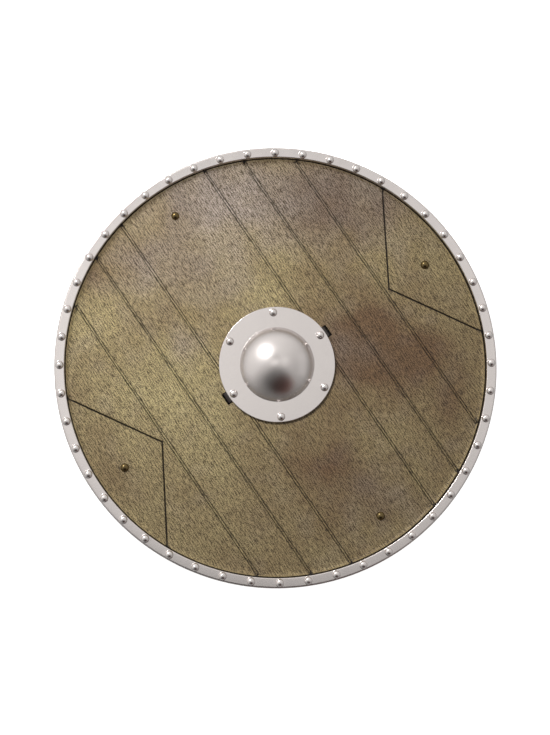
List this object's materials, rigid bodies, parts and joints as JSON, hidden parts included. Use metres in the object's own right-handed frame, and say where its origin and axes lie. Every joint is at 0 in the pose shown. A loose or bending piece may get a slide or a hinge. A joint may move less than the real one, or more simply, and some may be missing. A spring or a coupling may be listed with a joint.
{
  "type": "round costume shield",
  "caption": "Round costume shield in moulded plastic: plank-look board, riveted silver rim and domed boss, dark brass studs and a black strap grip behind.",
  "frame": {"origin": "under the middle of the shield, in the plane of the rim's back edge, on which it lies", "axes": "+Z out of the front through the boss, +Y along the planks, +X across the planks along the grip"},
  "size_m": [0.5, 0.5, 0.0458],
  "materials": {
    "plank_look_plastic": "moulded plastic with fine embossed grain, brushed with dark brown and gold-brown metallic paint",
    "silver_lacquered_plastic": "smooth moulded plastic under satin silver lacquer",
    "dark_brass": "darkened polished brass",
    "black_plastic": "black flexible plastic with a fine moulded texture"
  },
  "bodies": {
    "root": {"board": "plank_look_plastic", "rim": "silver_lacquered_plastic", "boss": "silver_lacquered_plastic", "stud_right": "dark_brass", "stud_top": "dark_brass", "stud_left": "dark_brass", "stud_bottom": "dark_brass", "grip_strap": "black_plastic"}
  },
  "joints": []
}
